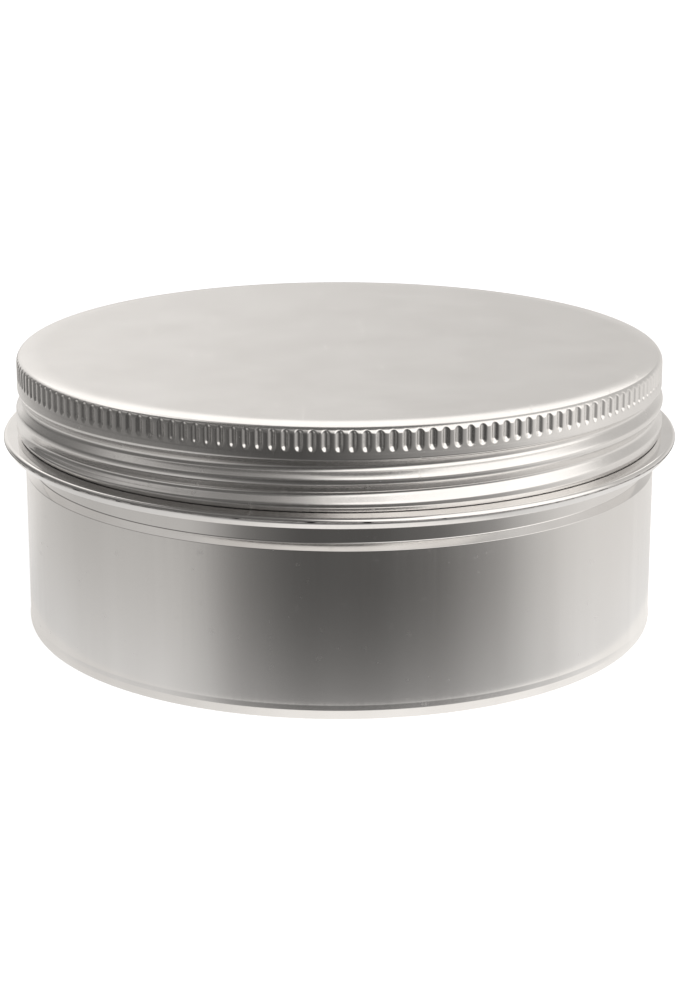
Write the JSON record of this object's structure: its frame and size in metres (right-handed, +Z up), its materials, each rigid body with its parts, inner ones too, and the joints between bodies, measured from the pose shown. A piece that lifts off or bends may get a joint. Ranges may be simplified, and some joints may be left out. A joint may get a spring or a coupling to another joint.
{
  "type": "round screw tin",
  "caption": "Round flat aluminium screw tin with a solid knurled lid, a rolled thread, a rolled collar bead and a foam sealing disc.",
  "frame": {"origin": "centre of the tin's foot, on the plane that it stands on", "axes": "+Z up along the tin's axis, the lid unscrews anticlockwise about +Z, -Y is the side that the picture shows"},
  "size_m": [0.0884, 0.0884, 0.0371],
  "materials": {
    "can_aluminium": "satin drawn",
    "lid_aluminium": "satin brushed",
    "liner_foam": "closed-cell foam"
  },
  "bodies": {
    "can": {"tin_body": "can_aluminium"},
    "liner": {"lid_liner": "liner_foam"},
    "lid": {"lid_shell": "lid_aluminium"}
  },
  "joints": [
    {"name": "lid_lift", "type": "slide", "parent": "can", "child": "liner", "axis": [0, 0, 1], "range_m": [0, 0.015]},
    {"name": "lid_turn", "type": "hinge", "parent": "liner", "child": "lid", "pos_m": [0, 0, 0.03], "axis": [0, 0, 1], "range_deg": [0, 1800]}
  ],
  "couplings": [
    {"joint": "lid_lift", "follows": "lid_turn", "m_per_rad": 0.00047746}
  ]
}
